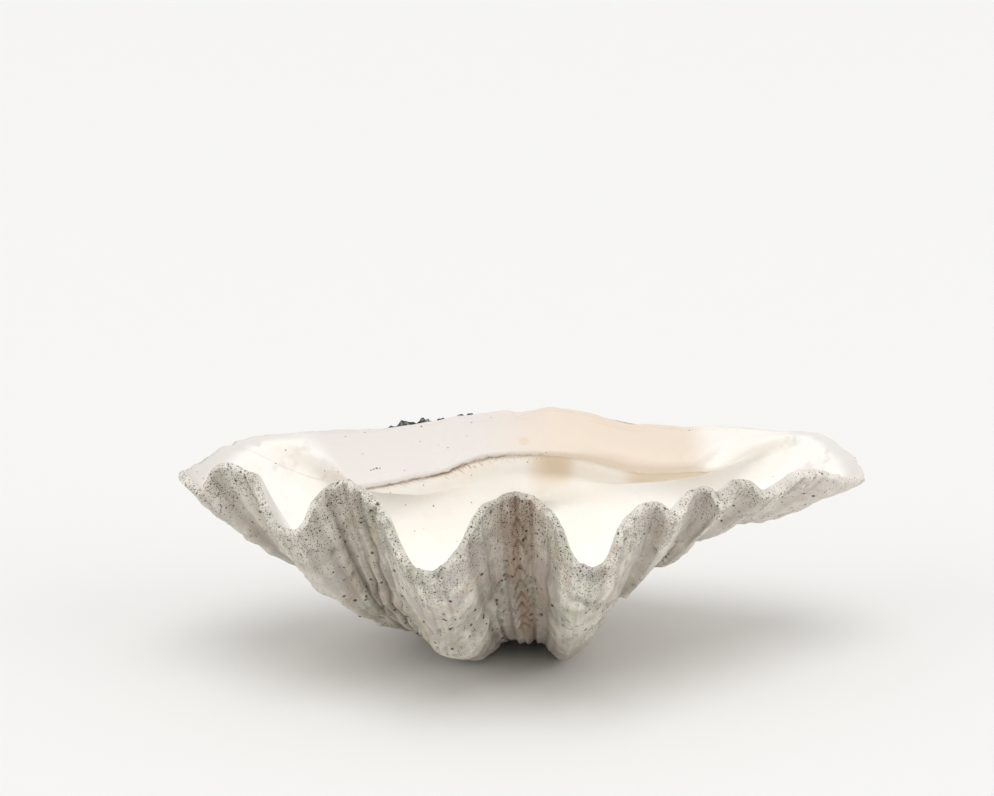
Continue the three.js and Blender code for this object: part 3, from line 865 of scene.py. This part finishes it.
def shell_material(colours, pinholes, clouds):
    """Chalky, pitted and stained outside, porcelain inside, and a pricked lip between them."""
    material, w, skin = clean_material("clam_shell")
    place = w.scaled(w.node("ShaderNodeTexCoord").outputs["Object"], (1 / MM,) * 3)
    around = w.read("around", "Vector")
    outer, lip, growth, valley, pit, brown, plate, below, left, pale = map(w.read, (
        "outside", "lip", "growth", "valley", "pit", "brown", "plate", "below", "left", "pale"))

    def patch(size, low, high, vector=place):
        return w.group(clouds, place=vector, size=size, low=low, high=high)

    def holes(spacing, density, radius):
        return w.group(pinholes, place=place, spacing=spacing, density=density, radius=radius)

    # Chalk in patches of several tints, the last one smooth and bare, paled on the wings by painted
    # side light, then stains, painted shade over the middle away from the lip and the wings, and
    # painted shade in the dark valleys.
    streak = patch(3, 0.42, 0.72, w.scaled(around, (1, 1, 0.06)))
    ring = patch(5, 0.45, 0.7, w.scaled(around, (0.08, 0.08, 1)))
    grain = patch(0.9, 0.35, 0.7)
    chalk = colours.chalk
    for size, low, high, amount, tint in CHALK_TINTS:
        bare = patch(size, low, high)
        chalk = w.mix(w.times(bare, amount), chalk, getattr(colours, tint))
    # Painted side light: the wings are paled towards the lighter chalk.
    chalk = w.mix(w.times(pale, 0.75), chalk, colours.side_lit_chalk)
    # Painted shade: away from the lip and the wings the chalk is darkened with the dirt colour.
    middle_shade = w.times(w.rest(pale), w.step(lip, 0.6, 0.1))
    banded = w.times(brown, patch(9, 0.3, 0.55, w.scaled(around, (1, 1, 0.4))))
    for mask, amount, tint in (
            (middle_shade, 0.2, colours.dirt_and_shade), (banded, 0.85, colours.brown),
            (streak, 0.26, colours.dirt_and_shade), (ring, 0.18, colours.dirt_and_shade),
            (grain, 0.14, colours.dirt_and_shade), (valley, 0.75, colours.valley)):
        chalk = w.mix(w.times(mask, amount), chalk, tint)

    # Holes: close together on the lip, in patches elsewhere, and large ones on the low lobes.
    worn = w.step(pale, 0.6, 1, 1, 0.22)
    dense = w.times(w.calc("POWER", lip, 3), outer, worn)
    pricked = w.times(patch(12, 0.42, 0.6), w.rest(w.times(bare, 0.9)), outer)
    small = holes(0.8, w.calc("ADD", w.times(dense, 0.85), w.times(pricked, 0.35)), 0.36)
    small = w.calc("MAXIMUM", small, holes(1.5, w.times(dense, 0.3), 0.3))
    middling = holes(2.8, w.times(w.step(growth, 0.45, 0.7, 0, 0.4), pricked), 0.25)
    lobe = w.times(w.step(growth, 0.72, 0.8), w.step(growth, 0.97, 0.92))
    often = w.calc("ADD", 0.25, w.times(lobe, w.rest(pale), 0.45))
    large = w.times(holes(5, w.times(often, outer), 0.19),
                    w.calc("ADD", 0.35, w.times(patch(2, 0.3, 0.5), 0.65)))
    pores = w.calc("MAXIMUM", w.calc("MAXIMUM", small, middling),
                   w.calc("MAXIMUM", large, w.times(pit, 0.45)))

    # Porcelain and the tinted face of the hinge plate.
    inner = w.mix(patch(45, 0.4, 0.65), colours.porcelain, colours.cream)
    plate = w.step(plate, 0.45, 0.95)
    across = w.node("ShaderNodeSeparateXYZ", {0: place}).outputs[0]
    face = w.times(plate, w.step(below, 2, -1), w.step(across, 104, 86, 0.25, 1))
    inner = w.mix(face, inner, w.mix(left, colours.plate_right, colours.plate_left))

    # The crack line under the plate's edge, its drips, and the painted shade under the right plate.
    # The brown crack line is partly stain and partly painted shade of the crease under the plate's
    # edge; its faint part on the right is painted shade under the rolled edge.
    wobble = w.calc("ADD", below, w.times(patch(5, 0.2, 0.8), 1.6))
    line = w.times(w.step(wobble, -0.6, 1.2), w.step(wobble, 5.5, 2), 0.65)
    core = w.times(w.step(wobble, 0.6, 1), w.step(wobble, 2.4, 1.6), patch(7, 0.4, 0.55), 0.5)
    crack = w.times(w.calc("ADD", line, core), w.calc("ADD", w.times(left, 0.8), 0.2))
    under = w.step(below, 0, 1)
    drip = w.times(patch(1.1, 0.52, 0.62, w.scaled(around, (1, 1, 0.15))),
                   w.step(below, 12, 1), left, under, 0.7)
    # gap is a strip kept free of the painted shade, so the brightly lit middle of the hollow stays
    # white; right says where the painted shade under the right plate goes.
    gap = w.times(w.step(across, 18, 30), w.step(across, 64, 50), 0.85)
    right = w.times(w.step(left, 0.45, 0.1), w.rest(gap), plate, under)
    for reach, amount, tint in UNDER_PLATE_SHADES:
        shade = w.times(w.step(below, reach, 0.25 * reach), amount, right)
        inner = w.mix(shade, inner, getattr(colours, tint))
    inner = w.mix(w.times(w.calc("MAXIMUM", crack, drip), plate), inner, colours.stain_and_crease_shade)

    # Grey-lilac inside the lip, partly its own patches and partly painted shade on the inner face
    # next to the lip, then spots and specks.
    grey_and_inner_shade = w.times(patch(13, 0.5, 0.66), w.step(growth, 0.55, 0.95))
    grey_and_inner_shade = w.calc("MAXIMUM", grey_and_inner_shade, w.step(growth, 0.9, 0.985))
    inner = w.mix(w.times(grey_and_inner_shade, w.rest(plate), 0.7), inner, colours.pearl_and_shade)
    for at, radius, fade, amount, tint in SPOTS:
        away = w.node("ShaderNodeVectorMath", {0: place, 1: tuple(HINGE_AT + at)},
                      operation="DISTANCE").outputs["Value"]
        spot = w.times(w.step(away, radius + fade, radius), amount)
        inner = w.mix(spot, inner, getattr(colours, tint))
    often = w.times(w.calc("ADD", w.times(left, 0.09), 0.012), w.step(lip, 0, 1, 1, 3))
    inner = w.mix(w.times(holes(2.6, often, 0.17), 0.75), inner, colours.pore)

    dug = w.times(pores, outer)
    both = w.mix(w.times(dug, 0.88), w.mix(outer, inner, chalk), colours.pore)
    w.feed(both, skin.inputs["Base Color"])
    w.feed(w.calc("ADD", w.times(outer, 0.4), 0.45, clamp=True), skin.inputs["Roughness"])
    relief = w.calc("ADD", w.times(grain, 0.3), w.times(streak, -0.3))
    relief = w.calc("ADD", relief, w.times(patch(2.2, 0.3, 0.7), 0.4))
    relief = w.calc("SUBTRACT", w.times(relief, outer), dug)
    relief = w.calc("SUBTRACT", relief, w.times(crack, 1.5))
    relief = w.calc("ADD", relief, w.times(patch(7, 0.3, 0.7), w.rest(outer), 0.5))
    w.feed(w.bump(relief, 0.7, 0.0006), skin.inputs["Normal"])
    return material


def crust_material(colours, pinholes, clouds):
    """Rough dark crust with paler crumbs."""
    material, w, skin = clean_material("old_crust")
    place = w.scaled(w.node("ShaderNodeTexCoord").outputs["Object"], (1 / MM,) * 3)
    pale = w.group(clouds, place=place, size=3, low=0.45, high=0.65)
    pores = w.group(pinholes, place=place, spacing=1.6, density=0.5, radius=0.35)
    colour = w.mix(pale, colours.crust, colours.crust_pale)
    w.feed(w.mix(pores, colour, colours.pore), skin.inputs["Base Color"])
    skin.inputs["Roughness"].default_value = 0.95
    w.feed(w.bump(w.calc("SUBTRACT", pale, pores), 0.8, 0.001), skin.inputs["Normal"])
    return material


def number(name, description, default, unit="NONE"):
    """A property from 0 up: a plain number, or a length in metres."""
    return FloatProperty(name=name, description=description, default=default, min=0, unit=unit)


def colour(name, description, *screen):
    """A colour property whose default is given by its screen numbers and made linear."""
    value = tuple((part / 255) ** 2.2 for part in screen)
    return FloatVectorProperty(name=name, description=description, default=value, size=3,
                               subtype="COLOR", min=0, max=1)


class ClamSizes(PropertyGroup):
    """Sizes of the relief on the valve."""
    riblet_height: number("Riblet height", "Height of the fine ribs on the folds", 0.0011, "LENGTH")
    unevenness: number("Unevenness", "Height of the outside's lumps and hollows", 0.0013, "LENGTH")
    pit_depth: number("Pit depth", "Depth of a pit 1 mm across", 0.0010, "LENGTH")
    crust_height: number("Crust height", "Height of the old crust", 0.0068, "LENGTH")


class ClamColours(PropertyGroup):
    """Colours of the valve, its stains and its crust."""
    chalk: colour("Chalk", "Palest part of the outside", 243, 239, 227)
    # Painted side light: the paler chalk that lights both wings.
    side_lit_chalk: colour("Bleached", "Paler chalk of both wings", 250, 243, 236)
    chalk_grey: colour("Grey chalk", "Greyer patches", 204, 200, 188)
    blush: colour("Blush", "Beige patches", 226, 208, 190)
    moss: colour("Green-grey", "Greenish patches", 191, 192, 170)
    lilac: colour("Lilac", "Smooth lilac-grey patches", 207, 199, 195)
    brown: colour("Brown", "Brown band down the middle groove", 178, 146, 124)
    # The dirt colour is real dirt in the streaks and growth lines, and painted shade over the
    # middle of the outside.
    dirt_and_shade: colour("Dirt", "Streaks and growth lines", 150, 142, 128)
    # The valley colour is painted shade in the fine valleys, in the ridges' valleys and under the
    # scales.
    valley: colour("Valley", "Bottoms of the fine valleys", 104, 90, 76)
    pore: colour("Pore", "Bottoms of the pinholes and pits", 48, 44, 41)
    porcelain: colour("Porcelain", "Palest part of the inside", 253, 251, 247)
    cream: colour("Cream", "Creamier part of the inside", 253, 247, 238)
    plate_left: colour("Left plate", "Pinkish face of the left plate", 229, 223, 218)
    plate_right: colour("Right plate", "Peach face of the right plate", 233, 217, 200)
    # The pearl colour is partly the grey-lilac of the inside and partly painted shade on the inner
    # face near the lip.
    pearl_and_shade: colour("Pearl", "Grey-lilac patches inside the lip", 217, 213, 210)
    # Peach and tan are painted shade in the hollow under the right plate; the tan also colours the
    # dimple spot on the plate.
    peach_shade: colour("Peach", "Peach of the hollow under the right plate", 243, 226, 204)
    tan: colour("Tan", "Shaded tan below the right plate", 226, 208, 183)
    rust: colour("Rust", "Rusty spot by the right tip", 186, 120, 70)
    # Brown of the crack line and its drips: stain, and along the crease painted shade as well.
    stain_and_crease_shade: colour("Stain", "Brown line under the left plate", 150, 122, 96)
    crust: colour("Crust", "Dark part of the crust", 58, 58, 58)
    crust_pale: colour("Pale crust", "Pale crumbs of the crust", 150, 148, 144)


class ClamStage(PropertyGroup):
    """Floor and light."""
    floor_colour: colour("Floor", "Colour of the floor", 240, 240, 239)
    low_light: colour("Low light", "Colour of the light near the floor", 255, 251, 244)
    horizon: number("Front", "Light from the front and back", 0.25)
    sides: number("Sides", "Light from the two sides", 0.9)
    zenith: number("Zenith", "Light from above", 0.72)
    fill: number("Fill", "Strength of the low lamps on both sides", 0.42)
    lamp: number("Lamp", "Strength of the wide lamp overhead", 0.92)


def finished(piece, material, context):
    """The piece with its material, riding on the body. The materials
    share two node groups, which are made once."""
    groups = bpy.data.node_groups
    shared = groups.get("Pinholes") or pinhole_group(), groups.get("Clouds") or cloud_group()
    piece.data.materials.append(material(context.scene.clam_colours, *shared))
    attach(piece, "root")
    return {"FINISHED"}


class CLAM_OT_valve(Operator):
    """Grow the valve with its folds, lip, hinge plate and hollow"""
    bl_idname = "clam.valve"
    bl_label = "Grow the valve"

    def execute(self, context):
        rows, values = valve_rows(context.scene.clam_sizes)
        piece = closed_piece("valve_surface", BEAK, rows, CAVITY, values)
        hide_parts("valve")
        return finished(piece, shell_material, context)


class CLAM_OT_crust(Operator):
    """Add the old crust behind the hinge line"""
    bl_idname = "clam.crust"
    bl_label = "Add the crust"

    def execute(self, context):
        rows = crust_rows(context.scene.clam_sizes)
        piece = closed_piece("old_crust", rows[0].mean(0), rows, rows[-1].mean(0))
        return finished(piece, crust_material, context)


class CLAM_OT_stage(Operator):
    """Lay the floor and set the light and the camera"""
    bl_idname = "clam.stage"
    bl_label = "Set the stage"

    def execute(self, context):
        scene, settings = context.scene, context.scene.clam_stage
        side = FLOOR_HALF
        floor_mesh = bpy.data.meshes.new("floor")
        corners = [(-side, -side, 0), (side, -side, 0), (side, side, 0), (-side, side, 0)]
        floor_mesh.from_pydata(corners, [], [(0, 1, 2, 3)])
        floor = added("floor", floor_mesh)
        material, _, skin = clean_material("floor_paper")
        skin.inputs["Base Color"].default_value = (*settings.floor_colour, 1)
        skin.inputs["Roughness"].default_value = 0.9
        skin.inputs["Specular IOR Level"].default_value = 0.1
        floor_mesh.materials.append(material)

        world = bpy.data.worlds.new("soft_sky")
        world.use_nodes = True
        w = Wiring(world.node_tree)
        direction = w.node("ShaderNodeTexCoord").outputs["Generated"]
        way = w.node("ShaderNodeSeparateXYZ", {0: direction})
        aside = w.times(way.outputs[0], way.outputs[0])
        low = w.step(aside, 0.1, 0.9, settings.horizon, settings.sides)
        sky = world.node_tree.nodes["Background"]
        w.feed(w.step(way.outputs[2], 0, 0.9, low, settings.zenith), sky.inputs["Strength"])
        warmth = w.step(way.outputs[2], 0.2, 0.9)
        w.feed(w.mix(warmth, settings.low_light, (1, 1, 1)), sky.inputs["Color"])
        scene.world = world
        for name, energy, turn in (("overhead", settings.lamp, OVERHEAD),
                                   ("right_fill", settings.fill, RIGHT_FILL),
                                   ("left_fill", settings.fill, LEFT_FILL)):
            lamp_data = bpy.data.lights.new(name, "SUN")
            lamp_data.energy, lamp_data.angle = energy, math.radians(LAMP_SPREAD)
            added(name, lamp_data).rotation_euler = [math.radians(angle) for angle in turn]

        camera_data = bpy.data.cameras.new("camera")
        camera_data.lens, camera_data.sensor_width, camera_data.clip_end = LENS, SENSOR, FAR
        camera = added("camera", camera_data)
        camera.location = CAMERA_AT
        camera.rotation_euler = (math.radians(90 - CAMERA_DOWN), 0, 0)
        scene.camera = camera
        scene.view_settings.view_transform = "Standard"
        return {"FINISHED"}


class CLAM_PT_sidebar(Panel):
    """Steps and settings in the 3D view's sidebar"""
    bl_label = "Giant clam valve"
    bl_idname = "CLAM_PT_sidebar"
    bl_space_type = "VIEW_3D"
    bl_region_type = "UI"
    bl_category = "Clam"

    def draw(self, context):
        for operator in STEPS:
            self.layout.operator(operator.bl_idname)
        for group in SETTINGS:
            box = self.layout.box()
            settings = getattr(context.scene, group)
            for name in settings.__annotations__:
                box.prop(settings, name)


STEPS = (CLAM_OT_valve, CLAM_OT_crust, CLAM_OT_stage)
SETTINGS = {"clam_sizes": ClamSizes, "clam_colours": ClamColours, "clam_stage": ClamStage}


def register():
    for kind in (*SETTINGS.values(), *STEPS, CLAM_PT_sidebar):
        bpy.utils.register_class(kind)
    for name, kind in SETTINGS.items():
        setattr(bpy.types.Scene, name, PointerProperty(type=kind))


def unregister():
    for name in SETTINGS:
        delattr(bpy.types.Scene, name)
    for kind in (CLAM_PT_sidebar, *reversed(STEPS), *reversed(SETTINGS.values())):
        bpy.utils.unregister_class(kind)


def main():
    register()
    bpy.ops.clam.valve()
    bpy.ops.clam.crust()
    bpy.ops.clam.stage()


if __name__ == "__main__":
    main()
